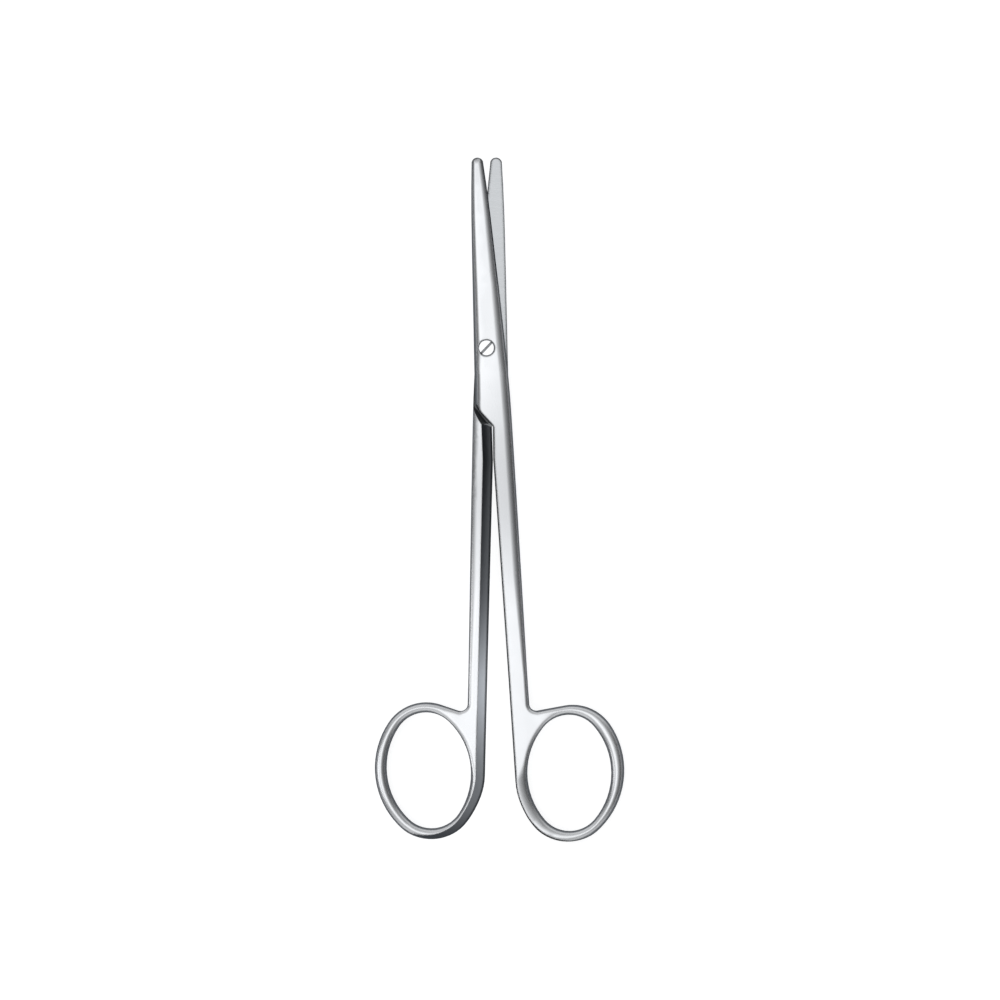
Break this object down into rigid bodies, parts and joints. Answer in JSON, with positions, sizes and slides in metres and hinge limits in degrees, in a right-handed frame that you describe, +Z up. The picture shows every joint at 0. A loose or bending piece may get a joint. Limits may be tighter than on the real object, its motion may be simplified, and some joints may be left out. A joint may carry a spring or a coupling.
{
  "type": "dissecting scissors",
  "caption": "Straight dissecting scissors with slim blunt blades, a lapped joint on a slotted screw and long shanks that end in oval finger rings.",
  "frame": {"origin": "on the pivot screw's axis, at the face that the scissors lie on", "axes": "+Y to the tips along the middle line of the closed scissors, +Z up out of the front half's face along the screw's axis, +X to the side where the front half's finger ring lies"},
  "size_m": [0.0529, 0.1455, 0.0034],
  "materials": {
    "satin_steel": "forged stainless steel, ground and satin polished",
    "screw_steel": "turned stainless steel, polished head"
  },
  "bodies": {
    "rear_body": {"rear_half": "satin_steel", "pivot_screw": "screw_steel"},
    "front_body": {"front_half": "satin_steel"}
  },
  "joints": [
    {"name": "pivot", "type": "hinge", "parent": "rear_body", "child": "front_body", "pos_m": [0, 0, 0.00172], "axis": [0, 0, 1], "range_deg": [-5.2, 90]}
  ]
}
